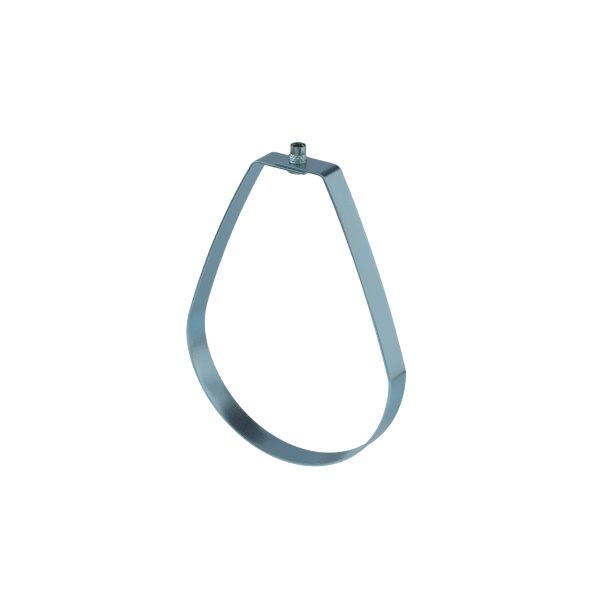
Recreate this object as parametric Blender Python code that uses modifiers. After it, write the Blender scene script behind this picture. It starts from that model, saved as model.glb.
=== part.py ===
"""Swivel loop hanger for a sprinkler pipe.

One steel strip is bent into a pear-shaped loop. Its two flat ends overlap at the head, and a
turned nut stands in the holes of both: the strap hangs on the nut's collar and swivels round it,
and the nut screws onto the hanging rod.

Units are metres. +Z is up, +X runs along the flat head and +Y across the strap. The origin is on
the swivel axis, at the nut's top face.
"""

import math

import bmesh
import bpy
from mathutils import Vector

# Strap and the pipe it carries
PIPE_DIAMETER = 0.2191
PIPE_CLEARANCE = 0.00105
STRAP_WIDTH = 0.028
STRAP_THICKNESS = 0.0028
ROLLED_EDGE_RADIUS = 0.001
SHEARED_END_RADIUS = 0.0003

# Head, where the flat ends overlap: its height and half its length from the pipe's centre, how far
# the swivel axis stands to the right of the middle, and how far each end reaches past that axis
HEAD_HEIGHT = 0.183
HEAD_HALF_LENGTH = 0.03605
SWIVEL_OFFSET = 0.0017
END_REACH = 0.0155
RIGHT_HEAD_BEND_RADIUS = 0.0079
LEFT_HEAD_BEND_RADIUS = 0.0099

# Sides: creases where the legs leave the round cradle, as angles above the pipe's centre
RIGHT_CREASE_ANGLE = math.radians(1.25)
RIGHT_CREASE_TURN = math.radians(16.7)
LEFT_CREASE_ANGLE = math.radians(-14.5)
LEFT_CREASE_TURN = math.radians(2.0)
CREASE_RADIUS = 0.008
LEFT_SHOULDER_RADIUS = 0.0808
LEFT_SHOULDER_TURN = math.radians(28.7)

# Swivel nut, threaded for the hanging rod
ROD_DIAMETER = 0.012
THREAD_PITCH = 0.00175
THREAD_DEPTH_PER_PITCH = 0.5413
MOUTH_CHAMFER = 0.0003
NECK_DIAMETER = 0.0142
NECK_TOP_RADIUS = 0.0004
HEAD_STAND = 0.0152
KNURL_DIAMETER = 0.0161
KNURL_HEIGHT = 0.0071
KNURL_SWELL_HEIGHT = 0.0045
KNURL_FOOT_RADIUS = 0.0012
KNURL_ROW_HEIGHT = 0.00355
KNURL_COUNT = 16
KNURL_DEPTH = 0.00045
COLLAR_DIAMETER = 0.0196
COLLAR_THICKNESS = 0.0037
COLLAR_TOP_RADIUS = 0.0005
COLLAR_FOOT_RADIUS = 0.0014

# Clearances
LAYER_GAP = 0.0003
COLLAR_GAP = 0.0003
KNURL_GAP = 0.0003
HOLE_CLEARANCE = 0.0004

# Fineness of the faceted surfaces
WIDE_BEND_STEP = math.radians(2.0)
TIGHT_BEND_STEP = math.radians(6.0)
EDGE_SEGMENTS = 3
CORNER_STEPS = 4
KNURL_FINENESS = 4
HOLE_SIDES = 48
SHARP_EDGE_ANGLE = math.radians(30.0)

# Places that follow from the sizes
RING_RADIUS = PIPE_DIAMETER / 2 + PIPE_CLEARANCE + STRAP_THICKNESS / 2
LAYER_OFFSET = (STRAP_THICKNESS + LAYER_GAP) / 2
HEAD_TOP_Z = -HEAD_STAND
HEAD_MIDDLE_Z = HEAD_TOP_Z - STRAP_THICKNESS - LAYER_GAP / 2
HEAD_UNDERSIDE_Z = HEAD_MIDDLE_Z - LAYER_OFFSET - STRAP_THICKNESS / 2
PIPE_CENTRE = Vector((-SWIVEL_OFFSET, HEAD_MIDDLE_Z - HEAD_HEIGHT))


def clear_scene():
    """Remove everything that the default scene holds."""
    for thing in list(bpy.data.objects):
        bpy.data.objects.remove(thing, do_unlink=True)


def make_collection(name):
    """Add a collection to the scene."""
    collection = bpy.data.collections.new(name)
    bpy.context.scene.collection.children.link(collection)
    return collection


def zinc_plate(name, colour, roughness):
    """Bright zinc plating on steel."""
    material = bpy.data.materials.new(name)
    material.use_nodes = True
    shader = material.node_tree.nodes["Principled BSDF"]
    shader.inputs["Base Color"].default_value = (*colour, 1.0)
    shader.inputs["Metallic"].default_value = 1.0
    shader.inputs["Roughness"].default_value = roughness
    return material


def add_object(name, mesh, collection, material=None):
    """Wrap a mesh in a named object with its material."""
    thing = bpy.data.objects.new(name, mesh)
    collection.objects.link(thing)
    if material:
        mesh.materials.append(material)
    return thing


def direction(heading):
    """Unit vector of a heading in the plane of the loop."""
    return Vector((math.cos(heading), math.sin(heading)))


class StripPath:
    """Middle line of the strip, laid down one bend after another in the plane of the loop."""

    def __init__(self, start, heading):
        self.points = [start.copy()]
        self.heading = heading

    def straight(self, length):
        """Go on without turning."""
        self.points.append(self.points[-1] + direction(self.heading) * length)

    def bend(self, radius, turn, step):
        """Turn round a bend of the given middle radius, to the left where both are positive."""
        if not turn:
            return
        count = max(1, math.ceil(abs(turn) / step))
        side = direction(self.heading + math.pi / 2)
        centre = self.points[-1] + side * radius
        for index in range(1, count + 1):
            outward = direction(self.heading - math.pi / 2 + turn * index / count)
            self.points.append(centre + outward * radius)
        self.heading += turn

    def bow_to(self, target, step):
        """Run along the one arc that leaves with the present heading and reaches the target."""
        chord = target - self.points[-1]
        half_turn = math.atan2(chord.y, chord.x) - self.heading
        if abs(half_turn) < 1e-6:
            self.straight(chord.length)
            return
        radius = chord.length / (2 * math.sin(half_turn))
        self.bend(radius, 2 * half_turn, step)


def leg_end(start, heading, corner, bend_radius):
    """Point where a bowed leg gives way to the head's bend.

    The bend is tangent to the leg and to the level head, whose lines cross at the corner.
    """
    end = corner
    for _ in range(30):
        chord = end - start
        end_heading = 2 * math.atan2(chord.y, chord.x) - heading
        setback = bend_radius * math.tan((math.pi - end_heading) / 2)
        end = corner - direction(end_heading) * setback
    return end


def half_loop(crease_angle, crease_turn, shoulder_radius, shoulder_turn, corner_height, bend_radius, reach):
    """Middle line of the loop's right-hand half, from the bottom of the cradle to its free end.

    The reach is how far the free end goes past the loop's middle.
    """
    path = StripPath(Vector((0.0, -RING_RADIUS)), 0.0)
    path.bend(RING_RADIUS, math.pi / 2 + crease_angle, WIDE_BEND_STEP)
    path.bend(CREASE_RADIUS, crease_turn, TIGHT_BEND_STEP)
    path.bend(shoulder_radius, shoulder_turn, WIDE_BEND_STEP)
    corner = Vector((HEAD_HALF_LENGTH, corner_height))
    path.bow_to(leg_end(path.points[-1], path.heading, corner, bend_radius), WIDE_BEND_STEP)
    path.bend(bend_radius, math.pi - path.heading, TIGHT_BEND_STEP)
    path.straight(path.points[-1].x + reach)
    return path.points


def loop_points():
    """Middle line of the whole strip, from the lower free end to the upper one."""
    right = half_loop(RIGHT_CREASE_ANGLE, RIGHT_CREASE_TURN, 0.0, 0.0,
                      HEAD_HEIGHT + LAYER_OFFSET, RIGHT_HEAD_BEND_RADIUS, END_REACH - SWIVEL_OFFSET)
    left = half_loop(LEFT_CREASE_ANGLE, LEFT_CREASE_TURN, LEFT_SHOULDER_RADIUS, LEFT_SHOULDER_TURN,
                     HEAD_HEIGHT - LAYER_OFFSET, LEFT_HEAD_BEND_RADIUS, END_REACH + SWIVEL_OFFSET)
    mirrored = [Vector((-point.x, point.y)) for point in reversed(left)]
    return [point + PIPE_CENTRE for point in mirrored + right[1:]]


def ribbon_mesh(name, points, width):
    """Open surface that a line in the XZ plane sweeps across the strap's width.

    Its border carries how much each edge is rounded: the rolled edges along the strip in full,
    the sheared ends less.
    """
    shell = bmesh.new()
    line = [shell.verts.new((point.x, -width / 2, point.y)) for point in points]
    edges = [shell.edges.new(pair) for pair in zip(line, line[1:])]
    swept = bmesh.ops.extrude_edge_only(shell, edges=edges)["geom"]
    moved = [item for item in swept if isinstance(item, bmesh.types.BMVert)]
    bmesh.ops.translate(shell, verts=moved, vec=(0.0, width, 0.0))
    bmesh.ops.recalc_face_normals(shell, faces=shell.faces)
    rounding = shell.edges.layers.float.new("bevel_weight_edge")
    for edge in shell.edges:
        if edge.is_boundary:
            along = edge.verts[0].co.y == edge.verts[1].co.y
            edge[rounding] = 1.0 if along else SHEARED_END_RADIUS / ROLLED_EDGE_RADIUS
    mesh = bpy.data.meshes.new(name)
    shell.to_mesh(mesh)
    shell.free()
    return mesh


def shade_round(mesh):
    """Shade smooth, with its real edges kept sharp."""
    mesh.shade_smooth()
    mesh.set_sharp_from_angle(angle=SHARP_EDGE_ANGLE)


def make_hole_cutter(collection):
    """Cutter for the aligned holes that the nut's shank passes through."""
    cutter_mesh = bpy.data.meshes.new("head_hole_cutter")
    stack_height = 2 * STRAP_THICKNESS + LAYER_GAP
    hole_radius = NECK_DIAMETER / 2 + HOLE_CLEARANCE
    shape = bmesh.new()
    bmesh.ops.create_cone(shape, cap_ends=True, segments=HOLE_SIDES, radius1=hole_radius,
                          radius2=hole_radius, depth=2 * stack_height)
    shape.to_mesh(cutter_mesh)
    shape.free()
    cutter = add_object("head_hole_cutter", cutter_mesh, collection)
    cutter.location = (0.0, 0.0, HEAD_MIDDLE_Z)
    cutter.hide_render = True
    cutter.display_type = "WIRE"
    return cutter


def make_strap(collection, cutters):
    """The strap: a swept line given its thickness, punched, and rounded along its border."""
    mesh = ribbon_mesh("strap", loop_points(), STRAP_WIDTH)
    strap = add_object("strap", mesh, collection, zinc_plate("zinc_strap", (0.42, 0.53, 0.58), 0.34))
    sheet = strap.modifiers.new("sheet", "SOLIDIFY")
    sheet.thickness = STRAP_THICKNESS
    sheet.offset = 0.0
    sheet.use_even_offset = True
    punch = strap.modifiers.new("punch", "BOOLEAN")
    punch.operation = "DIFFERENCE"
    punch.object = make_hole_cutter(cutters)
    edges = strap.modifiers.new("edges", "BEVEL")
    edges.width = ROLLED_EDGE_RADIUS
    edges.segments = EDGE_SEGMENTS
    edges.limit_method = "WEIGHT"
    shade_round(mesh)
    return strap


def corner_arc(radius, edge_z, edge_radius, upper):
    """Points round the outer edge of a disc, from its top down, for an upper or a lower edge."""
    centre_r = radius - edge_radius
    centre_z = edge_z - edge_radius if upper else edge_z + edge_radius
    first = math.pi / 2 if upper else 0.0
    points = []
    for index in range(CORNER_STEPS + 1):
        angle = first - math.pi / 2 * index / CORNER_STEPS
        points.append((centre_r + edge_radius * math.cos(angle), centre_z + edge_radius * math.sin(angle)))
    return points


def knurl_levels():
    """Radius and height of the knurl's rings of points, down from the plain neck to the foot."""
    neck_radius = NECK_DIAMETER / 2
    flare = KNURL_DIAMETER / 2 - neck_radius
    top_z = HEAD_TOP_Z + KNURL_GAP + KNURL_FOOT_RADIUS + KNURL_HEIGHT
    steps = KNURL_FINENESS * round(KNURL_HEIGHT / KNURL_ROW_HEIGHT)
    levels = []
    for step in range(steps + 1):
        drop = KNURL_HEIGHT * step / steps
        part = min(1.0, drop / KNURL_SWELL_HEIGHT)
        swell = (1 - math.cos(math.pi * part)) / 2
        levels.append((neck_radius + flare * swell, top_z - drop))
    return levels


def nut_profile():
    """Closed outline of the nut's section, down its outside and up its bore."""
    bore_radius = ROD_DIAMETER / 2 - THREAD_DEPTH_PER_PITCH * THREAD_PITCH
    mouth_radius = ROD_DIAMETER / 2 + MOUTH_CHAMFER
    chamfer = mouth_radius - bore_radius
    neck_radius = NECK_DIAMETER / 2
    knurl_radius = KNURL_DIAMETER / 2
    knurl_foot_z = HEAD_TOP_Z + KNURL_GAP
    collar_top_z = HEAD_UNDERSIDE_Z - COLLAR_GAP
    collar_foot_z = collar_top_z - COLLAR_THICKNESS

    outside = corner_arc(neck_radius, 0.0, NECK_TOP_RADIUS, True)
    outside += knurl_levels()
    outside += corner_arc(knurl_radius, knurl_foot_z, KNURL_FOOT_RADIUS, False)[1:]
    outside += [(neck_radius, knurl_foot_z), (neck_radius, collar_top_z)]
    outside += corner_arc(COLLAR_DIAMETER / 2, collar_top_z, COLLAR_TOP_RADIUS, True)
    outside += corner_arc(COLLAR_DIAMETER / 2, collar_foot_z, COLLAR_FOOT_RADIUS, False)
    bore = [(mouth_radius, collar_foot_z), (bore_radius, collar_foot_z + chamfer),
            (bore_radius, -chamfer), (mouth_radius, 0.0)]
    return outside + bore


def groove_depth(column, row):
    """Share of the knurl's depth at one point of its grid: 0 on each tip, 1 along both grooves."""
    rising = abs((column + row) / KNURL_FINENESS % 1.0 - 0.5)
    falling = abs((column - row) / KNURL_FINENESS % 1.0 - 0.5)
    return 2 * max(rising, falling)


def cut_knurl(mesh):
    """Press the crossed knurl into the plain shoulder.

    The shoulder's points form a grid, a few to each four-sided tip. Each is pressed in by the
    depth of the crossed grooves there, and the faces that a groove crosses are split along it.
    """
    columns = KNURL_FINENESS * KNURL_COUNT
    inner_levels = list(enumerate(knurl_levels()))[1:-1]
    reach = KNURL_DEPTH / 4
    shape = bmesh.new()
    shape.from_mesh(mesh)
    in_groove = set()
    for vert in shape.verts:
        radius = math.hypot(vert.co.x, vert.co.y)
        column = round(math.atan2(vert.co.y, vert.co.x) / (2 * math.pi) * columns)
        for row, (level_radius, level_z) in inner_levels:
            if abs(vert.co.z - level_z) < reach and abs(radius - level_radius) < reach:
                share = groove_depth(column, row)
                vert.co.xy *= (radius - KNURL_DEPTH * share) / radius
                if share == 1.0:
                    in_groove.add(vert)
                break
    for face in list(shape.faces):
        low = [vert for vert in face.verts if vert in in_groove]
        if len(face.verts) == 4 and len(low) == 2:
            bmesh.utils.face_split(face, low[0], low[1])
    shape.to_mesh(mesh)
    shape.free()


def make_swivel_nut(collection):
    """The swivel nut: a turned section with the knurl pressed into its shoulder."""
    outline = bpy.data.meshes.new("nut_section")
    section = nut_profile()
    edges = [(index, (index + 1) % len(section)) for index in range(len(section))]
    outline.from_pydata([(radius, 0.0, height) for radius, height in section], edges, [])
    turned = add_object("nut_section", outline, collection)
    lathe = turned.modifiers.new("lathe", "SCREW")
    lathe.axis = "Z"
    lathe.steps = KNURL_FINENESS * KNURL_COUNT
    lathe.render_steps = KNURL_FINENESS * KNURL_COUNT
    lathe.use_merge_vertices = True
    lathe.merge_threshold = 0.00001
    lathe.use_normal_calculate = False
    depsgraph = bpy.context.evaluated_depsgraph_get()
    mesh = bpy.data.meshes.new_from_object(turned.evaluated_get(depsgraph))
    bpy.data.objects.remove(turned, do_unlink=True)
    mesh.name = "swivel_nut"
    cut_knurl(mesh)
    shade_round(mesh)
    return add_object("swivel_nut", mesh, collection, zinc_plate("zinc_nut", (0.36, 0.44, 0.46), 0.3))


def main():
    """Model the hanger."""
    clear_scene()
    hanger = make_collection("loop_hanger")
    cutters = make_collection("cutters")
    make_strap(hanger, cutters)
    make_swivel_nut(hanger)


main()
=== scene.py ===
"""Looks of a swivel loop hanger for a sprinkler pipe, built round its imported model.

The strap and the swivel nut are modelled here again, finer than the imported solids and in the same
place. The strap is laid down as one strip, bend after bend. The nut is turned from its section,
with the knurl pressed into its shoulder and the rod's thread cut into its bore.

Units are metres. +Z is up, +X runs along the flat head and +Y across the strap. The origin is on
the swivel axis, at the nut's top face.
"""

import logging
import math
from collections import Counter
from dataclasses import dataclass
from enum import Enum
from typing import Callable, Iterable

import bmesh
import bpy
from mathutils import Matrix, Vector, kdtree


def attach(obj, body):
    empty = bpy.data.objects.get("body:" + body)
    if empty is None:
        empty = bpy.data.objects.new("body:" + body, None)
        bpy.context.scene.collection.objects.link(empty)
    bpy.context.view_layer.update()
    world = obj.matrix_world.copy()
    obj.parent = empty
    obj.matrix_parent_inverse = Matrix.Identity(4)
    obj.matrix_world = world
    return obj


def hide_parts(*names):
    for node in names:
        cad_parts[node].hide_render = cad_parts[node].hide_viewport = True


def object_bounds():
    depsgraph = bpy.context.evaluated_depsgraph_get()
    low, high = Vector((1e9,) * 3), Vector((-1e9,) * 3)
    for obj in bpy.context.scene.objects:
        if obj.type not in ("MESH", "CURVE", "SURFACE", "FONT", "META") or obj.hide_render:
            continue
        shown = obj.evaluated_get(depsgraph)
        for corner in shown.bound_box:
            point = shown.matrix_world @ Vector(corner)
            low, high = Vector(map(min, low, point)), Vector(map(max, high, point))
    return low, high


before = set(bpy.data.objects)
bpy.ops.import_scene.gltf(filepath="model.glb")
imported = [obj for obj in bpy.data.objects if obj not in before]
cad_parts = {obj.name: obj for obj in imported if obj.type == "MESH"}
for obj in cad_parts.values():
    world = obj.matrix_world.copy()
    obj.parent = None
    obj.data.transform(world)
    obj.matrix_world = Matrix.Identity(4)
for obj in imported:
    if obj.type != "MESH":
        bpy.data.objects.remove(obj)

LOG = logging.getLogger("loop_hanger")
CAD_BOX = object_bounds()
MILLIMETRE = 0.001
MERGE_DISTANCE = MILLIMETRE / 1000
TIP_TOLERANCE = MILLIMETRE / 100
BORE_TOLERANCE = MILLIMETRE / 50
HEAD_TOP = -0.0152
SMOOTH_ANGLE = math.radians(32.0)
UV_MIDDLE = 0.5
Colour = tuple[float, float, float]
SectionPoint = tuple[float, float]


class Body(Enum):
    """Moving bodies of the frame that the pieces ride on."""

    NUT = "nut"
    LOOP = "loop"


class Slot(Enum):
    """Material slots of the record."""

    STRAP = "zinc_strap"
    NUT = "zinc_nut"


def deselect_all() -> None:
    """Leave edit mode and deselect every object."""
    if bpy.context.object and bpy.context.object.mode != "OBJECT":
        bpy.ops.object.mode_set(mode="OBJECT")
    bpy.ops.object.select_all(action="DESELECT")


def pick(thing: bpy.types.Object) -> None:
    """Select one object alone and make it the active one.

    Args:
        thing: The object to select.
    """
    deselect_all()
    thing.select_set(True)
    bpy.context.view_layer.objects.active = thing


def enter_edit(thing: bpy.types.Object) -> None:
    """Start shaping one object in edit mode, with nothing selected.

    Args:
        thing: The mesh object to shape.
    """
    pick(thing)
    bpy.ops.object.mode_set(mode="EDIT")
    bpy.ops.mesh.select_mode(type="VERT")
    bpy.ops.mesh.select_all(action="DESELECT")


def leave_edit() -> None:
    """Go back to object mode."""
    bpy.ops.object.mode_set(mode="OBJECT")


def close_up() -> None:
    """Merge the doubles of the mesh in edit mode and point all its faces one way."""
    bpy.ops.mesh.select_all(action="SELECT")
    bpy.ops.mesh.remove_doubles(threshold=MERGE_DISTANCE)
    bpy.ops.mesh.normals_make_consistent(inside=False)


def select_vertices(thing: bpy.types.Object, wanted: Callable[[bmesh.types.BMVert], bool]) -> None:
    """Select the vertices of the object in edit mode that a test picks.

    Args:
        thing: The object in edit mode.
        wanted: Test for one vertex.
    """
    bpy.ops.mesh.select_all(action="DESELECT")
    cage = bmesh.from_edit_mesh(thing.data)
    for vert in cage.verts:
        vert.select = wanted(vert)
    cage.select_flush(True)
    bmesh.update_edit_mesh(thing.data)


def apply_modifier(thing: bpy.types.Object, kind: str, **settings: object) -> None:
    """Add a modifier and apply it at once.

    Args:
        thing: The mesh object.
        kind: Blender's name of the modifier's type.
        **settings: The modifier's own properties.
    """
    pick(thing)
    modifier = thing.modifiers.new(kind.lower(), kind)
    for key, value in settings.items():
        setattr(modifier, key, value)
    bpy.ops.object.modifier_apply(modifier=modifier.name)


def shade_smooth(thing: bpy.types.Object) -> None:
    """Shade an object smooth, apart from its sharp edges."""
    pick(thing)
    bpy.ops.object.shade_smooth_by_angle(angle=SMOOTH_ANGLE)


def heading_vector(heading: float) -> Vector:
    """Unit vector of a heading in the plane of the loop."""
    return Vector((math.cos(heading), 0.0, math.sin(heading)))


def compass_vector(azimuth: float, elevation: float) -> Vector:
    """Unit vector towards a place round the object.

    Args:
        azimuth: Its direction in degrees, from +Y towards +X.
        elevation: Its height above the horizon, in degrees.

    Returns:
        The direction.
    """
    turn, rise = math.radians(azimuth), math.radians(elevation)
    level = math.cos(rise)
    return Vector((math.sin(turn) * level, math.cos(turn) * level, math.sin(rise)))


def smooth_ramp(value: float) -> float:
    """Smooth rise from 0 to 1 as the value goes from 0 to 1."""
    clipped = min(1.0, max(0.0, value))
    return clipped * clipped * (3.0 - 2.0 * clipped)


@dataclass(frozen=True)
class Run:
    """One stretch of the strip: a bend, or a straight where its radius is None.

    Attributes:
        turn: Angle turned to the left, or the length of a straight.
        radius: Middle radius of the bend.
        step: Widest angle of one facet of the bend.
    """

    turn: float
    radius: float | None = None
    step: float = math.radians(1.0)


class StripBender:
    """Lays a flat strip down by hand.

    Its leading row is extruded along straights and spun round bends.
    """

    def __init__(self, name: str, start: Vector, heading: float, length: float,
                 columns: list[float]) -> None:
        """Lay the first straight.

        Args:
            name: Name of the new object.
            start: Middle of the strip's first end.
            heading: Heading of the strip in the plane of the loop.
            length: Length of the first straight.
            columns: Places across the strip that get a lengthwise edge, its two sides included.
        """
        self.heading = heading
        self.tip = start + heading_vector(heading) * length
        self.travelled = length
        self.stations = [(start.copy(), 0.0), (self.tip.copy(), length)]
        deselect_all()
        bpy.ops.mesh.primitive_plane_add(size=1.0, location=(start + self.tip) / 2)
        self.thing = bpy.context.object
        self.thing.name = name
        self.thing.scale = (length, columns[-1] - columns[0], 1.0)
        bpy.ops.object.transform_apply(location=True, rotation=True, scale=True)
        enter_edit(self.thing)
        for place in columns[1:-1]:
            bpy.ops.mesh.select_all(action="SELECT")
            bpy.ops.mesh.bisect(plane_co=(0.0, place, 0.0), plane_no=(0.0, 1.0, 0.0))
        tip_x = self.tip.x
        select_vertices(self.thing, lambda vert: abs(vert.co.x - tip_x) < TIP_TOLERANCE)

    def lay(self, run: Run) -> None:
        """Lay one more stretch.

        Args:
            run: The bend or straight.
        """
        if run.radius is None:
            step = heading_vector(self.heading) * run.turn
            bpy.ops.mesh.extrude_region_move(TRANSFORM_OT_translate={"value": step})
            self.tip = self.tip + step
            self.travelled += run.turn
            self.stations.append((self.tip.copy(), self.travelled))
            return
        count = max(1, math.ceil(abs(run.turn) / run.step))
        centre = self.tip + heading_vector(self.heading + math.pi / 2) * run.radius
        bpy.ops.mesh.spin(steps=count, angle=run.turn, center=centre, axis=(0.0, 1.0, 0.0),
                          dupli=False)
        for index in range(1, count + 1):
            outward = self.heading - math.pi / 2 + run.turn * index / count
            self.tip = centre + heading_vector(outward) * run.radius
            self.travelled += abs(run.radius * run.turn) / count
            self.stations.append((self.tip.copy(), self.travelled))
        self.heading += run.turn

    def finish(self) -> bpy.types.Object:
        """Close the mesh up and give the strip its own UV map in metres.

        Returns:
            The open strip.
        """
        close_up()
        leave_edit()
        tree = kdtree.KDTree(len(self.stations))
        for index, (place, _) in enumerate(self.stations):
            tree.insert(place, index)
        tree.balance()
        mesh = self.thing.data
        layer = mesh.uv_layers.active or mesh.uv_layers.new(name="strip")
        layer.name = "strip"
        for loop in mesh.loops:
            place = mesh.vertices[loop.vertex_index].co
            nearest = tree.find((place.x, 0.0, place.z))[1]
            layer.data[loop.index].uv = (self.stations[nearest][1], place.y)
        return self.thing


@dataclass(frozen=True)
class Side:
    """One side of the loop, from the bottom of the cradle up to its free end.

    Attributes:
        crease_angle: Where the round cradle ends, above the pipe's centre.
        crease_turn: Turn of the crease there.
        shoulder_radius: Middle radius of the bend above the crease.
        shoulder_turn: Turn of that bend, or 0 for none.
        head_radius: Middle radius of the bend into the head.
        ease_turn: Part of that bend, next to the head, that is bent gently.
        layer: 1 for the upper layer of the head, -1 for the lower one.
    """

    crease_angle: float
    crease_turn: float
    shoulder_radius: float
    shoulder_turn: float
    head_radius: float
    ease_turn: float
    layer: int


@dataclass
class StrapLoop:
    """The strap: one steel strip bent into the whole loop, with its ends overlapped at the head.

    The swivel axis stands to the right of the loop's middle by the swivel offset, and each end of
    the strip reaches past that axis by the end reach.

    Attributes:
        pipe_clearance: Room between the pipe and the cradle.
        rolled_edge_radius: Rounding of the strip's long edges.
        sheared_end_radius: Rounding of its two cut ends.
        head_height: From the pipe's centre up to the middle of the head.
        head_half_length: From the loop's middle to where each bend's corner would be.
        layer_gap: Air between the two layers of the head.
        head_top: Height of the head's top face.
        crease_radius: Middle radius of both creases.
        cradle_crown: How far the strip's sides curl outwards in the cradle.
        leg_crown: How far they curl outwards on the legs.
        crown_run: Length over which the curl comes and goes.
        crown_power: How closely the curl keeps to the sides.
        ease_radius: Middle radius of the gentle part of a head bend.
        column_shares: Lengthwise edges, as shares of half the width.
        side_share: Share of half the width past which a vertex lies on a side.
        solve_rounds: Rounds in which the leg's bow is fitted to the head bend.
        punch_thicknesses: Length of the punch, in thicknesses of the strip.
        wide_step: Angle of one facet of a wide bend.
        bow_step: Angle of one facet of a leg's bow.
        tight_step: Angle of one facet of a tight bend.
    """

    pipe_diameter: float = 0.2191
    pipe_clearance: float = 0.00105
    width: float = 0.028
    thickness: float = 0.0028
    rolled_edge_radius: float = 0.001
    sheared_end_radius: float = 0.0003
    edge_segments: int = 6
    head_height: float = 0.183
    head_half_length: float = 0.03605
    swivel_offset: float = 0.0017
    end_reach: float = 0.0155
    layer_gap: float = 0.0003
    head_top: float = HEAD_TOP
    hole_diameter: float = 0.015
    hole_sides: int = 144
    punch_thicknesses: int = 4
    crease_radius: float = 0.016
    cradle_crown: float = 0.00045
    leg_crown: float = 0.00025
    crown_run: float = 0.012
    crown_power: float = 3.5
    ease_radius: float = 0.03
    column_shares: tuple[float, ...] = (1.0, 0.93, 0.84, 0.72, 0.56, 0.38, 0.19)
    side_share: float = 0.999
    solve_rounds: int = 30
    wide_step: float = math.radians(1.0)
    bow_step: float = math.radians(0.25)
    tight_step: float = math.radians(3.0)
    right: Side = Side(crease_angle=math.radians(0.65), crease_turn=math.radians(16.7),
                       shoulder_radius=0.0, shoulder_turn=0.0,
                       head_radius=0.0069, ease_turn=math.radians(9.0), layer=1)
    left: Side = Side(crease_angle=math.radians(-14.5), crease_turn=math.radians(2.0),
                      shoulder_radius=0.0808, shoulder_turn=math.radians(28.7),
                      head_radius=0.0099, ease_turn=0.0, layer=-1)

    @property
    def ring_radius(self) -> float:
        """Middle radius of the cradle."""
        return self.pipe_diameter / 2 + self.pipe_clearance + self.thickness / 2

    @property
    def layer_offset(self) -> float:
        """Height of each layer's middle from the middle of the head."""
        return (self.thickness + self.layer_gap) / 2

    @property
    def head_middle(self) -> float:
        """Height of the middle of the overlapped head."""
        return self.head_top - self.thickness - self.layer_gap / 2

    @property
    def pipe_centre(self) -> Vector:
        """Centre of the pipe that the cradle holds."""
        return Vector((-self.swivel_offset, 0.0, self.head_middle - self.head_height))

    def columns(self) -> list[float]:
        """Places of the strip's lengthwise edges, closer together near its sides."""
        near = [-share * self.width / 2 for share in self.column_shares]
        return near + [0.0] + [-place for place in reversed(near)]

    def runs(self, side: Side) -> list[Run]:
        """Stretches of one side, from the bottom of the cradle to the free end.

        Args:
            side: The side's own sizes.

        Returns:
            Bends and straights in order, the last one straight.
        """
        heading = math.pi / 2 + side.crease_angle
        start = heading_vector(heading - math.pi / 2) * self.ring_radius
        made = [Run(heading, self.ring_radius, self.wide_step)]
        for radius, turn, step in ((self.crease_radius, side.crease_turn, self.tight_step),
                                   (side.shoulder_radius, side.shoulder_turn, self.wide_step)):
            if turn:
                centre = start + heading_vector(heading + math.pi / 2) * radius
                heading += turn
                start = centre + heading_vector(heading - math.pi / 2) * radius
                made.append(Run(turn, radius, step))
        corner_height = self.head_height + side.layer * self.layer_offset
        corner = Vector((self.head_half_length, 0.0, corner_height))
        end = corner
        for _ in range(self.solve_rounds):
            chord = end - start
            end_heading = 2 * math.atan2(chord.z, chord.x) - heading
            tight_turn = math.pi - end_heading - side.ease_turn
            tight_part = side.head_radius * math.tan(tight_turn / 2)
            ease_part = self.ease_radius * math.tan(side.ease_turn / 2)
            # Law of sines in the triangle of the leg, the head and the bend's middle tangent
            side_per_sine = (tight_part + ease_part) / math.sin(end_heading)
            reach = tight_part + side_per_sine * math.sin(side.ease_turn)
            end = corner - heading_vector(end_heading) * reach
        bow = end_heading - heading
        made.append(Run(bow, (end - start).length / (2 * math.sin(bow / 2)), self.bow_step))
        made.append(Run(tight_turn, side.head_radius, self.tight_step))
        if side.ease_turn:
            made.append(Run(side.ease_turn, self.ease_radius, self.wide_step))
        setback = ease_part + side_per_sine * math.sin(tight_turn)
        to_middle = self.head_half_length - setback
        made.append(Run(to_middle + self.end_reach - side.layer * self.swivel_offset))
        return made

    def lay_strip(self) -> bpy.types.Object:
        """Lay the strip from its lower free end, down the left side and up the right one.

        Returns:
            The open strip, without thickness.
        """
        left, right = self.runs(self.left), self.runs(self.right)
        start_height = self.head_middle + self.left.layer * self.layer_offset
        start = Vector((self.end_reach, 0.0, start_height))
        bender = StripBender("strap_loop", start, math.pi, left[-1].turn, self.columns())
        for run in list(reversed(left[:-1])) + right:
            bender.lay(run)
        LOG.info("strip laid, %.0f mm long", bender.travelled / MILLIMETRE)
        return bender.finish()

    def curl_sides(self, strip: bpy.types.Object) -> None:
        """Curl the strip's two sides outwards a little, as bending a flat strip does.

        Args:
            strip: The open strip.
        """
        half = self.width / 2
        first, last = -math.pi - self.left.crease_angle, self.right.crease_angle
        lifts = []
        for vert in strip.data.vertices:
            arm = vert.co - self.pipe_centre
            arm.y = 0.0
            angle = math.atan2(arm.z, arm.x)
            # Angles run from the top, down the left side and up the right one
            if angle > math.pi / 2:
                angle -= 2 * math.pi
            to_crease = min(angle - first, last - angle) * self.ring_radius
            in_cradle = smooth_ramp(to_crease / self.crown_run)
            # The curl ends one run below the head, which stays flat
            under_head = smooth_ramp((self.head_height - arm.z) / self.crown_run - 1.0)
            crown = self.leg_crown + (self.cradle_crown - self.leg_crown) * in_cradle
            outward = vert.normal if vert.normal.dot(arm) > 0.0 else -vert.normal
            to_side = abs(vert.co.y / half) ** self.crown_power
            lifts.append(outward * (under_head * crown) * to_side)
        for vert, lift in zip(strip.data.vertices, lifts):
            vert.co += lift

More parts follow.
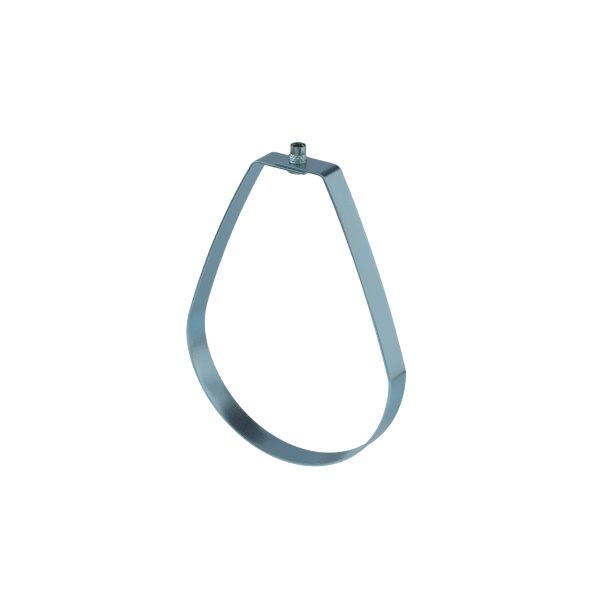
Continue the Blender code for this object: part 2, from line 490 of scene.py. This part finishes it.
    def round_border(self, strip: bpy.types.Object) -> None:
        """Mark the strip's border for rounding: its rolled edges in full, its sheared ends less.

        Args:
            strip: The open strip.
        """
        mesh = strip.data
        rounding = mesh.attributes.new("bevel_weight_edge", "FLOAT", "EDGE")
        side_place = self.side_share * self.width / 2
        uses = Counter(key for face in mesh.polygons for key in face.edge_keys)
        for edge in mesh.edges:
            if uses[edge.key] == 1:
                ends = [mesh.vertices[index].co.y for index in edge.vertices]
                rolled = all(abs(place) > side_place for place in ends)
                sheared = self.sheared_end_radius / self.rolled_edge_radius
                rounding.data[edge.index].value = 1.0 if rolled else sheared

    def punch_head(self, strap: bpy.types.Object) -> None:
        """Punch the nut's hole through both layers of the head.

        Args:
            strap: The strap with its thickness.
        """
        deselect_all()
        bpy.ops.mesh.primitive_cylinder_add(vertices=self.hole_sides,
                                            radius=self.hole_diameter / 2,
                                            depth=self.punch_thicknesses * self.thickness,
                                            location=(0.0, 0.0, self.head_middle))
        punch = bpy.context.object
        apply_modifier(strap, "BOOLEAN", operation="DIFFERENCE", solver="EXACT", object=punch)
        bpy.data.objects.remove(punch, do_unlink=True)

    def build(self) -> bpy.types.Object:
        """Model the strap.

        Returns:
            The finished strap.
        """
        strap = self.lay_strip()
        self.curl_sides(strap)
        self.round_border(strap)
        apply_modifier(strap, "SOLIDIFY", thickness=self.thickness, offset=0.0,
                       use_even_offset=True)
        apply_modifier(strap, "BEVEL", width=self.rolled_edge_radius,
                       segments=self.edge_segments, limit_method="WEIGHT")
        self.punch_head(strap)
        shade_smooth(strap)
        return strap


@dataclass
class SwivelNut:
    """The swivel nut: a turned body with a knurled shoulder, a collar and a threaded bore.

    Attributes:
        thread_share: Depth of the thread, as a share of its pitch.
        ridge_flat: Flat top of the thread's ridge, as a share of the pitch.
        flanks: Both flanks of the ridge together, as a share of the pitch.
        mouth_chamfer: Chamfer at both ends of the bore.
        head_top: Height of the strap's top face.
        head_underside: Height of the face that the collar carries.
        knurl_height: Height of the knurled shoulder.
        knurl_swell_height: Height over which the neck swells out to the knurl's diameter.
        knurl_gap: Air between the knurl's foot and the strap.
        knurl_count: Points of the knurl round the nut.
        knurl_depth: Depth of the grooves between the points.
        knurl_fade: Rows over which the grooves run out at both edges of the knurl.
        gap: Running gap between the collar and the strap.
    """

    rod_diameter: float = 0.012
    thread_pitch: float = 0.00175
    thread_share: float = 0.5413
    ridge_flat: float = 0.125
    flanks: float = 0.625
    mouth_chamfer: float = 0.0006
    neck_diameter: float = 0.0142
    neck_top_radius: float = 0.0003
    head_top: float = HEAD_TOP
    head_underside: float = -0.0211
    knurl_diameter: float = 0.0161
    knurl_height: float = 0.0083
    knurl_swell_height: float = 0.0065
    knurl_foot_radius: float = 0.0002
    knurl_gap: float = 0.0001
    knurl_rows: int = 2
    knurl_count: int = 16
    knurl_depth: float = 0.00035
    knurl_fade: float = 0.25
    collar_diameter: float = 0.0196
    collar_thickness: float = 0.0037
    collar_top_radius: float = 0.0005
    collar_foot_radius: float = 0.0014
    gap: float = 0.0003
    corner_steps: int = 7
    knurl_levels: int = 48
    thread_levels_per_turn: int = 10
    steps_round: int = 192

    def corner(self, radius: float, edge: float, edge_radius: float,
               upper: bool) -> list[SectionPoint]:
        """Points round the outer edge of a disc, from its top down.

        Args:
            radius: Radius of the disc.
            edge: Height of its upper or lower face.
            edge_radius: Radius of the rounded edge.
            upper: True for the upper edge.

        Returns:
            Radius and height of each point.
        """
        centre = edge - edge_radius if upper else edge + edge_radius
        first = math.pi / 2 if upper else 0.0
        points = []
        for index in range(self.corner_steps + 1):
            angle = first - math.pi / 2 * index / self.corner_steps
            points.append((radius - edge_radius + edge_radius * math.cos(angle),
                           centre + edge_radius * math.sin(angle)))
        return points

    @property
    def knurl_foot(self) -> float:
        """Height of the knurl's lower edge, just above the strap."""
        return self.head_top + self.knurl_gap

    @property
    def knurl_base(self) -> float:
        """Height where the knurl's lowest points begin."""
        return self.knurl_foot + self.knurl_foot_radius

    @property
    def knurl_top(self) -> float:
        """Height where the plain neck swells out into the knurled shoulder."""
        return self.knurl_base + self.knurl_height

    @property
    def nut_foot(self) -> float:
        """Height of the collar's underside."""
        return self.head_underside - self.gap - self.collar_thickness

    @property
    def thread_depth(self) -> float:
        """Depth of the thread."""
        return self.thread_share * self.thread_pitch

    @property
    def core_radius(self) -> float:
        """Radius of the bore between the thread's ridges."""
        return self.rod_diameter / 2 - self.thread_depth

    @property
    def mouth_radius(self) -> float:
        """Radius of the bore's two chamfered mouths."""
        return self.rod_diameter / 2 + self.mouth_chamfer

    def section(self) -> list[SectionPoint]:
        """Section of the nut, down its outside and up its bore, closed by its top face.

        Returns:
            Radius and height of each point.
        """
        neck = self.neck_diameter / 2
        knurl = self.knurl_diameter / 2
        collar = self.collar_diameter / 2
        collar_top = self.head_underside - self.gap
        outside = self.corner(neck, 0.0, self.neck_top_radius, True)
        for index in range(self.knurl_levels + 1):
            drop = self.knurl_height * index / self.knurl_levels
            swell = (1 - math.cos(math.pi * min(1.0, drop / self.knurl_swell_height))) / 2
            outside.append((neck + (knurl - neck) * swell, self.knurl_top - drop))
        outside += self.corner(knurl, self.knurl_foot, self.knurl_foot_radius, False)[1:]
        outside += [(neck, self.knurl_foot), (neck, collar_top)]
        outside += self.corner(collar, collar_top, self.collar_top_radius, True)
        outside += self.corner(collar, self.nut_foot, self.collar_foot_radius, False)
        levels = round(-self.nut_foot / self.thread_pitch * self.thread_levels_per_turn)
        bore = []
        for index in range(levels + 1):
            bore.append((self.mouth_radius, self.nut_foot - self.nut_foot * index / levels))
        return outside + bore

    def turn(self) -> bpy.types.Object:
        """Draw the section point by point and spin it round the swivel axis.

        Returns:
            The turned body, with a plain bore.
        """
        deselect_all()
        bpy.ops.mesh.primitive_plane_add(size=MILLIMETRE, location=(0.0, 0.0, 0.0))
        body = bpy.context.object
        body.name = "turned_swivel_nut"
        enter_edit(body)
        points = self.section()
        bpy.ops.mesh.select_all(action="SELECT")
        bpy.ops.mesh.merge(type="CENTER")
        bpy.ops.transform.translate(value=(points[0][0], 0.0, points[0][1]))
        for here, there in zip(points, points[1:]):
            step = (there[0] - here[0], 0.0, there[1] - here[1])
            bpy.ops.mesh.extrude_vertices_move(TRANSFORM_OT_translate={"value": step})
        select_vertices(body, lambda vert: len(vert.link_edges) == 1)
        bpy.ops.mesh.edge_face_add()
        bpy.ops.mesh.select_all(action="SELECT")
        bpy.ops.mesh.spin(steps=self.steps_round, angle=2 * math.pi, center=(0.0, 0.0, 0.0),
                          axis=(0.0, 0.0, 1.0), dupli=False, use_auto_merge=True)
        close_up()
        leave_edit()
        return body

    def knurl_dip(self, angle: float, height: float) -> float:
        """Depth of the crossed knurl below the plain shoulder at one place.

        Args:
            angle: Angle round the swivel axis.
            height: Height of the place.

        Returns:
            Depth in metres, 0 at the tip of each four-sided point.
        """
        across = angle / (2 * math.pi) * self.knurl_count
        rows = (height - self.knurl_base) / self.knurl_height * self.knurl_rows
        if not 0.0 <= rows <= self.knurl_rows:
            return 0.0
        groove_a = abs((across + rows) % 1.0 - 0.5)
        groove_b = abs((across - rows) % 1.0 - 0.5)
        fade = smooth_ramp(min(rows, self.knurl_rows - rows) / self.knurl_fade)
        return self.knurl_depth * 2 * max(groove_a, groove_b) * fade

    def bore_radius(self, angle: float, height: float) -> float:
        """Radius of the threaded bore at one place.

        Args:
            angle: Angle round the swivel axis.
            height: Height of the place.

        Returns:
            The wider one of the thread and the mouth's chamfer.
        """
        turn = (height / self.thread_pitch - angle / (2 * math.pi)) % 1.0
        down_flank = (abs(turn - 0.5) * 2 - self.ridge_flat) / self.flanks
        thread = self.core_radius + self.thread_depth * min(1.0, max(0.0, down_flank))
        from_mouth = min(-height, height - self.nut_foot)
        return max(thread, self.mouth_radius - from_mouth)

    def shape_surfaces(self, body: bpy.types.Object) -> None:
        """Press the knurl into the shoulder and cut the thread into the bore.

        Args:
            body: The turned body.
        """
        for vert in body.data.vertices:
            radius = math.hypot(vert.co.x, vert.co.y)
            angle = math.atan2(vert.co.y, vert.co.x)
            wanted = radius
            if abs(radius - self.mouth_radius) < BORE_TOLERANCE:
                wanted = self.bore_radius(angle, vert.co.z)
            elif self.knurl_base < vert.co.z < self.knurl_top:
                wanted = radius - self.knurl_dip(angle, vert.co.z)
            vert.co.x *= wanted / radius
            vert.co.y *= wanted / radius

    def build(self) -> bpy.types.Object:
        """Model the nut.

        Returns:
            The finished nut.
        """
        body = self.turn()
        self.shape_surfaces(body)
        shade_smooth(body)
        return body


class NodeBench:
    """Small helper that adds and joins the nodes of one material or world."""

    def __init__(self, tree: bpy.types.NodeTree) -> None:
        """Start on a node tree, which is cleared."""
        self.tree = tree
        tree.nodes.clear()

    def add(self, kind: str, inputs: dict[str | int, object] | None = None,
            **settings: object) -> bpy.types.Node:
        """Add a node.

        Args:
            kind: Blender's node type.
            inputs: Socket values, or sockets to join to.
            **settings: The node's own properties.

        Returns:
            The new node.
        """
        node = self.tree.nodes.new(kind)
        for key, value in settings.items():
            setattr(node, key, value)
        for key, value in (inputs or {}).items():
            if isinstance(value, bpy.types.NodeSocket):
                self.tree.links.new(value, node.inputs[key])
            else:
                node.inputs[key].default_value = value
        return node

    def combine(self, operation: str, first: object, second: object) -> bpy.types.NodeSocket:
        """Combine two values or sockets by one of Blender's operations."""
        node = self.add("ShaderNodeMath", {0: first, 1: second}, operation=operation)
        return node.outputs[0]

    def ramp(self, value: bpy.types.NodeSocket, low: float, high: float, to_low: float,
             to_high: float) -> bpy.types.NodeSocket:
        """Map a value smoothly from one range to another.

        Args:
            value: The incoming value.
            low: Value that gives to_low.
            high: Value that gives to_high.
            to_low: Result at the low end.
            to_high: Result at the high end.

        Returns:
            The mapped value.
        """
        node = self.add("ShaderNodeMapRange",
                        {"Value": value, "From Min": low, "From Max": high,
                         "To Min": to_low, "To Max": to_high},
                        interpolation_type="SMOOTHSTEP")
        return node.outputs["Result"]

    def noise(self, place: bpy.types.NodeSocket, scale: float, detail: float = 3.0,
              roughness: float = 0.6) -> bpy.types.NodeSocket:
        """Add a soft random pattern.

        Args:
            place: Coordinates that it follows.
            scale: Spots to the unit of those coordinates.
            detail: How many finer patterns are laid over it.
            roughness: Strength of those finer patterns.

        Returns:
            The pattern, from 0 to 1.
        """
        node = self.add("ShaderNodeTexNoise", {"Vector": place, "Scale": scale, "Detail": detail,
                                               "Roughness": roughness})
        return node.outputs["Fac"]

    def bump(self, height: bpy.types.NodeSocket, depth: float,
             normal: bpy.types.NodeSocket | None = None) -> bpy.types.NodeSocket:
        """Turn a pattern into small dents.

        Args:
            height: The pattern.
            depth: Depth of the dents.
            normal: Dents that these ones are laid over.

        Returns:
            The dented normal.
        """
        inputs = {"Height": height, "Strength": 1.0, "Distance": depth}
        if normal:
            inputs["Normal"] = normal
        return self.add("ShaderNodeBump", inputs).outputs[0]

    def seen_rays(self) -> bpy.types.NodeSocket:
        """Tell apart the rays that show a thing and those that only light the scene.

        Returns:
            1 for a ray from the camera, a mirror or through glass, else 0.
        """
        path = self.add("ShaderNodeLightPath")
        total = path.outputs["Is Camera Ray"]
        for name in ("Is Glossy Ray", "Is Transmission Ray"):
            total = self.combine("MAXIMUM", total, path.outputs[name])
        return total


def start_material(name: str) -> tuple[bpy.types.Material, NodeBench]:
    """Start a new material on an empty node tree.

    Args:
        name: Its name.

    Returns:
        The material and the bench for its nodes.
    """
    made = bpy.data.materials.new(name)
    made.use_nodes = True
    return made, NodeBench(made.node_tree)


@dataclass(frozen=True)
class ZincPlate:
    """Bright zinc plating on steel.

    Attributes:
        name: Name of the material.
        colour: Colour of the plating.
        drift: Second colour, which the plating drifts to in wide soft patches.
        roughness: Middle roughness.
        patch: Size of the soft patches.
        grain_along: Length of the rolling marks, or 0 on a turned piece.
        grain_across: Spacing of the rolling or turning marks.
        grain_depth: Depth of those marks.
        turning_length: Length of the turning marks round a turned piece.
        patch_detail: How many finer patterns the soft patches have.
        patch_roughness: Strength of those finer patterns.
        patch_range: Values of the patches between which the colour drifts.
        satin_scale: Spots of the fine satin grain to the metre.
        mark_range: Values of the marks between which the roughness changes.
        roughness_spread: How far the roughness strays from its middle.
    """

    name: str
    colour: Colour
    drift: Colour
    roughness: float
    patch: float
    grain_along: float
    grain_across: float
    grain_depth: float
    turning_length: float = 0.1
    patch_detail: float = 2.0
    patch_roughness: float = 0.45
    patch_range: tuple[float, float] = (0.32, 0.68)
    satin_scale: float = 900.0
    mark_range: tuple[float, float] = (0.2, 0.8)
    roughness_spread: float = 0.03

    def marks(self, bench: NodeBench, coordinates: bpy.types.Node) -> bpy.types.NodeSocket:
        """Pattern of the rolling marks along a strip, or of the turning marks round a nut.

        Args:
            bench: The material's nodes.
            coordinates: Its Texture Coordinate node.

        Returns:
            The pattern, from 0 to 1.
        """
        if self.grain_along:
            source = coordinates.outputs["UV"]
            scale = (1 / self.grain_along, 1 / self.grain_across, 1.0)
        else:
            source = coordinates.outputs["Object"]
            scale = (1 / self.turning_length, 1 / self.turning_length, 1 / self.grain_across)
        mapped = bench.add("ShaderNodeMapping", {"Vector": source, "Scale": scale})
        return bench.noise(mapped.outputs[0], 1.0)

    def material(self) -> bpy.types.Material:
        """Make the material.

        Returns:
            A node-based metal with patches, marks and a fine satin bump.
        """
        made, bench = start_material(self.name)
        coordinates = bench.add("ShaderNodeTexCoord")
        place = coordinates.outputs["Object"]
        patches = bench.noise(place, 1 / self.patch, self.patch_detail, self.patch_roughness)
        drifting = bench.ramp(patches, *self.patch_range, 0.0, 1.0)
        colour = bench.add("ShaderNodeMix", {"Factor": drifting, "A": (*self.colour, 1.0),
                                             "B": (*self.drift, 1.0)}, data_type="RGBA")
        marks = self.marks(bench, coordinates)
        satin = bench.noise(place, self.satin_scale)
        coarse = bench.bump(marks, self.grain_depth)
        fine = bench.bump(satin, self.grain_depth / 2, coarse)
        roughness = bench.ramp(marks, *self.mark_range, self.roughness - self.roughness_spread,
                               self.roughness + self.roughness_spread)
        shader = bench.add("ShaderNodeBsdfPrincipled",
                           {"Base Color": colour.outputs["Result"], "Metallic": 1.0,
                            "Roughness": roughness, "Normal": fine})
        bench.add("ShaderNodeOutputMaterial", {"Surface": shader.outputs[0]})
        return made

    def dress(self, piece: bpy.types.Object) -> None:
        """Give a piece this finish and no other."""
        piece.data.materials.clear()
        piece.data.materials.append(self.material())


@dataclass(frozen=True)
class StudioCard:
    """A card that stands round the object and shows only in its reflections.

    Attributes:
        name: Name of the card.
        azimuth: Direction of its middle, in degrees from +Y towards +X.
        elevation: Height of its middle above the horizon, in degrees.
        width: Width that it covers, in degrees.
        height: Height that it covers, in degrees.
        tone: Its brightness, where 1 is white.
        feather: Share of each half over which it fades out at its rim.
        distance: Distance of its middle from the point that it faces.
        lift: How far that point lies above the middle of the object.
    """

    name: str
    azimuth: float
    elevation: float
    width: float
    height: float
    tone: Colour
    feather: float
    distance: float
    lift: float = 0.0

    def span(self, degrees: float) -> float:
        """Length that covers an angle at the card's distance."""
        return 2 * self.distance * math.tan(math.radians(degrees / 2))

    def build(self, centre: Vector) -> bpy.types.Object:
        """Stand the card up.

        Args:
            centre: Middle of the object.

        Returns:
            The card.
        """
        towards = compass_vector(self.azimuth, self.elevation)
        deselect_all()
        bpy.ops.mesh.primitive_plane_add(size=1.0)
        card = bpy.context.object
        card.name = self.name
        card.location = centre + Vector((0.0, 0.0, self.lift)) + towards * self.distance
        card.rotation_mode = "QUATERNION"
        card.rotation_quaternion = towards.to_track_quat("-Z", "Y")
        card.scale = (self.span(self.width), self.span(self.height), 1.0)
        card.data.materials.append(self.material())
        for ray in ("camera", "diffuse", "shadow", "transmission", "volume_scatter"):
            setattr(card, f"visible_{ray}", False)
        return card

    def material(self) -> bpy.types.Material:
        """Make the card's even tone, which fades out towards its rim.

        Returns:
            The card's material.
        """
        made, bench = start_material(self.name)
        coordinates = bench.add("ShaderNodeTexCoord")
        place = bench.add("ShaderNodeSeparateXYZ", {0: coordinates.outputs["UV"]})
        fades = []
        for axis in ("X", "Y"):
            to_rim = bench.combine("PINGPONG", place.outputs[axis], UV_MIDDLE)
            fades.append(bench.ramp(to_rim, 0.0, UV_MIDDLE * self.feather, 0.0, 1.0))
        cover = bench.combine("MULTIPLY", *fades)
        clear = bench.add("ShaderNodeBsdfTransparent")
        light = bench.add("ShaderNodeEmission", {"Color": (*self.tone, 1.0), "Strength": 1.0})
        mixed = bench.add("ShaderNodeMixShader",
                          {0: cover, 1: clear.outputs[0], 2: light.outputs[0]})
        bench.add("ShaderNodeOutputMaterial", {"Surface": mixed.outputs[0]})
        return made


@dataclass
class Studio:
    """Plain pale floor, plain soft light, and the cards that shape the metal's reflections.

    Attributes:
        floor_drop: How far the floor lies below the object.
        world_light: Strength of the white surroundings as a light on the object.
        floor_glow: Brightness that the seen floor has beyond the light on it.
        lamp_azimuth: Direction of the lamp, in degrees, as of a card.
        lamp_elevation: Its height above the horizon, in degrees.
        lamp_distance: Distance of the lamp from the middle of the object.
        lamp_size: Width of the square lamp.
        lamp_power: Power of the lamp in watts.
        cards: The cards. Where two overlap, the nearer one shows.
    """

    floor_drop: float = 1.0
    floor_size: float = 60.0
    floor_colour: Colour = (0.9, 0.9, 0.9)
    world_light: float = 0.55
    floor_glow: float = 0.58
    lamp_azimuth: float = -131.0
    lamp_elevation: float = 52.0
    lamp_distance: float = 1.8
    lamp_size: float = 0.9
    lamp_power: float = 20.0
    cards: tuple[StudioCard, ...] = (
        # Round the strap (azimuth, elevation, width, height, tone, feather, distance, lift)
        StudioCard("grey_backdrop", -34.0, 26.0, 56.0, 60.0, (0.385, 0.46, 0.53), 0.35, 2.3),
        StudioCard("grey_floor", -4.0, -42.0, 96.0, 40.0, (0.45, 0.56, 0.62), 0.4, 1.1),
        StudioCard("pale_patch", 26.0, -33.0, 34.0, 26.0, (0.54, 0.75, 0.88), 0.9, 1.0),
        StudioCard("low_shade", -40.0, -8.0, 26.0, 28.0, (0.24, 0.32, 0.37), 0.5, 2.2),
        StudioCard("dark_flag", 13.5, 40.0, 37.0, 34.0, (0.09, 0.105, 0.12), 0.4, 2.0),
        StudioCard("side_shade", 7.5, 9.0, 39.0, 34.0, (0.11, 0.14, 0.17), 0.2, 2.1),
        StudioCard("bright_side", 53.0, 24.0, 24.0, 60.0, (1.6, 1.5, 1.45), 0.7, 2.0),
        StudioCard("bend_shade", -5.0, 40.0, 30.0, 24.0, (0.12, 0.14, 0.16), 0.6, 0.3, 0.14),
        StudioCard("crease_strip", 49.0, -16.0, 18.0, 17.0, (0.1, 0.13, 0.15), 0.8, 0.68),
        StudioCard("left_crease_strip", 30.0, -19.0, 25.0, 20.0, (0.36, 0.44, 0.5), 0.8, 0.6),
        StudioCard("rim_shade", 0.0, -15.0, 48.0, 16.0, (0.05, 0.06, 0.07), 0.3, 2.0),
        StudioCard("front_window", 118.0, 16.0, 50.0, 36.0, (1.5, 1.55, 1.6), 0.5, 1.6),
        # Close round the nut
        StudioCard("neck_left", -112.0, -25.0, 64.0, 20.0, (0.3, 0.34, 0.36), 0.3, 0.3, 0.15),
        StudioCard("neck_side", 172.0, -25.0, 44.0, 20.0, (0.42, 0.46, 0.48), 0.4, 0.3, 0.15),
        StudioCard("neck_flag", 125.0, -25.0, 50.0, 24.0, (0.1, 0.115, 0.12), 0.3, 0.4, 0.15),
        StudioCard("neck_right", 22.0, -25.0, 44.0, 18.0, (0.48, 0.54, 0.56), 0.4, 0.3, 0.15),
        StudioCard("bore_right", -63.0, 3.0, 34.0, 32.0, (0.05, 0.06, 0.07), 0.2, 0.3, 0.15),
        StudioCard("bore_left", -8.0, 2.0, 26.0, 30.0, (0.08, 0.09, 0.1), 0.4, 0.3, 0.15),
        StudioCard("bore_upper", -90.0, 26.0, 44.0, 36.0, (0.05, 0.06, 0.07), 0.3, 0.3, 0.15),
        StudioCard("mouth_flag", 46.0, 42.0, 34.0, 34.0, (0.09, 0.1, 0.11), 0.4, 0.1, 0.16),
        StudioCard("left_window", -125.0, 12.0, 50.0, 46.0, (2.4, 2.5, 2.6), 0.6, 0.35, 0.14),
        StudioCard("front_right", 138.0, 0.0, 80.0, 40.0, (0.28, 0.33, 0.35), 0.4, 0.15, 0.15),
        # Above and in front
        StudioCard("ceiling", 147.0, 86.0, 80.0, 64.0, (0.04, 0.045, 0.05), 0.3, 1.9, 0.15),
        StudioCard("upper_front", -128.0, 44.0, 60.0, 44.0, (0.36, 0.42, 0.46), 0.5, 1.8),
        StudioCard("near_front", -147.0, -26.0, 54.0, 42.0, (0.17, 0.19, 0.2), 0.5, 0.4, 0.14),
        StudioCard("front_floor", -150.0, -38.0, 90.0, 46.0, (0.92, 0.96, 1.0), 0.8, 1.0),
        StudioCard("near_floor", 130.0, -58.0, 60.0, 36.0, (0.58, 0.64, 0.67), 0.6, 0.5, 0.08),
    )

    def build_world(self) -> None:
        """Make the white surroundings."""
        world = bpy.data.worlds.new("studio")
        bpy.context.scene.world = world
        world.use_nodes = True
        bench = NodeBench(world.node_tree)
        strength = bench.add("ShaderNodeMapRange", {"Value": bench.seen_rays(),
                                                    "To Min": self.world_light, "To Max": 1.0})
        background = bench.add("ShaderNodeBackground", {"Color": (1.0, 1.0, 1.0, 1.0),
                                                        "Strength": strength.outputs[0]})
        bench.add("ShaderNodeOutputWorld", {"Surface": background.outputs[0]})

    def build_floor(self, lowest: float) -> bpy.types.Object:
        """Lay the floor below the hanging object.

        Args:
            lowest: Height of the object's lowest point.

        Returns:
            The floor.
        """
        deselect_all()
        bpy.ops.mesh.primitive_plane_add(size=self.floor_size,
                                         location=(0.0, 0.0, lowest - self.floor_drop))
        floor = bpy.context.object
        floor.name = "floor"
        made, bench = start_material("pale_floor")
        lit = bench.add("ShaderNodeBsdfDiffuse", {"Color": (*self.floor_colour, 1.0)})
        glow_level = bench.combine("MULTIPLY", bench.seen_rays(), self.floor_glow)
        glow = bench.add("ShaderNodeEmission", {"Strength": glow_level})
        both = bench.add("ShaderNodeAddShader", {0: lit.outputs[0], 1: glow.outputs[0]})
        bench.add("ShaderNodeOutputMaterial", {"Surface": both.outputs[0]})
        floor.data.materials.append(made)
        return floor

    def build_lamp(self, centre: Vector) -> None:
        """Hang the soft lamp.

        Args:
            centre: Middle of the object, which the lamp faces.
        """
        towards = compass_vector(self.lamp_azimuth, self.lamp_elevation)
        light = bpy.data.lights.new("soft_lamp", "AREA")
        light.energy = self.lamp_power
        light.size = self.lamp_size
        lamp = bpy.data.objects.new("soft_lamp", light)
        bpy.context.scene.collection.objects.link(lamp)
        lamp.location = centre + towards * self.lamp_distance
        lamp.rotation_mode = "QUATERNION"
        lamp.rotation_quaternion = towards.to_track_quat("Z", "Y")
        lamp.visible_glossy = False

    def build(self, box: tuple[Vector, Vector]) -> None:
        """Set the studio up round the object.

        Args:
            box: Lowest and highest corner of the object.
        """
        centre = (box[0] + box[1]) / 2
        self.build_world()
        self.build_floor(box[0].z)
        self.build_lamp(centre)
        for card in self.cards:
            card.build(centre)
        bpy.context.scene.view_settings.view_transform = "Standard"


@dataclass(frozen=True)
class Viewpoint:
    """The photograph's camera.

    Attributes:
        target: Point that the angles and offsets are measured from, the pipe's centre.
        azimuth: Angle round the object; 0 looks along +Y.
        elevation: Angle above the horizon.
        roll: Turn round the line of sight.
        distance: Distance along the line of sight.
        shift_right: How far the camera stands to the right of the target.
        shift_up: How far it stands above the target.
        lens: Focal length in millimetres.
        sensor: Width of the sensor in millimetres.
    """

    target: Vector
    azimuth: float = math.radians(32.723)
    elevation: float = math.radians(25.286)
    roll: float = math.radians(1.1)
    distance: float = 1.96
    shift_right: float = 0.00652
    shift_up: float = 0.04436
    lens: float = 127.28
    sensor: float = 36.0

    def build(self) -> None:
        """Set the camera up and make it the scene's own."""
        level = math.cos(self.elevation)
        back = Vector((math.sin(self.azimuth) * level, -math.cos(self.azimuth) * level,
                       math.sin(self.elevation)))
        level_right = Vector((math.cos(self.azimuth), math.sin(self.azimuth), 0.0))
        level_up = back.cross(level_right)
        right = math.cos(self.roll) * level_right + math.sin(self.roll) * level_up
        up = -math.sin(self.roll) * level_right + math.cos(self.roll) * level_up
        lens = bpy.data.cameras.new("camera")
        lens.lens = self.lens
        lens.sensor_width = self.sensor
        camera = bpy.data.objects.new("camera", lens)
        bpy.context.scene.collection.objects.link(camera)
        place = self.target + back * self.distance
        place = place + right * self.shift_right + up * self.shift_up
        turned = Matrix((right, up, back)).transposed().to_4x4()
        camera.matrix_world = Matrix.Translation(place) @ turned
        bpy.context.scene.camera = camera


def stand_in(piece: bpy.types.Object, node: str, body: Body) -> None:
    """Let a finished piece stand for its node of the frame, on its body.

    Args:
        piece: The finished piece.
        node: Node that it replaces.
        body: Body that it rides on.
    """
    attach(piece, body.value)
    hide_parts(node)
    LOG.info("%s: %d faces, stands for %s on body %s",
             piece.name, len(piece.data.polygons), node, body.value)


def main() -> None:
    """Build the hanger's pieces, the studio and the camera."""
    logging.basicConfig(level=logging.INFO, format="%(name)s: %(message)s")
    loop = StrapLoop()
    strap = loop.build()
    ZincPlate(Slot.STRAP.value, colour=(0.255, 0.4, 0.475), drift=(0.265, 0.4, 0.44),
              roughness=0.22, patch=0.035, grain_along=0.06, grain_across=0.0008,
              grain_depth=0.00001).dress(strap)
    stand_in(strap, "strap", Body.LOOP)
    nut = SwivelNut().build()
    ZincPlate(Slot.NUT.value, colour=(0.3, 0.4, 0.41), drift=(0.27, 0.4, 0.44),
              roughness=0.2, patch=0.008, grain_along=0.0, grain_across=0.0003,
              grain_depth=0.000006).dress(nut)
    stand_in(nut, "swivel_nut", Body.NUT)
    Viewpoint(loop.pipe_centre).build()
    Studio().build(CAD_BOX)


if __name__ == "__main__":
    main()
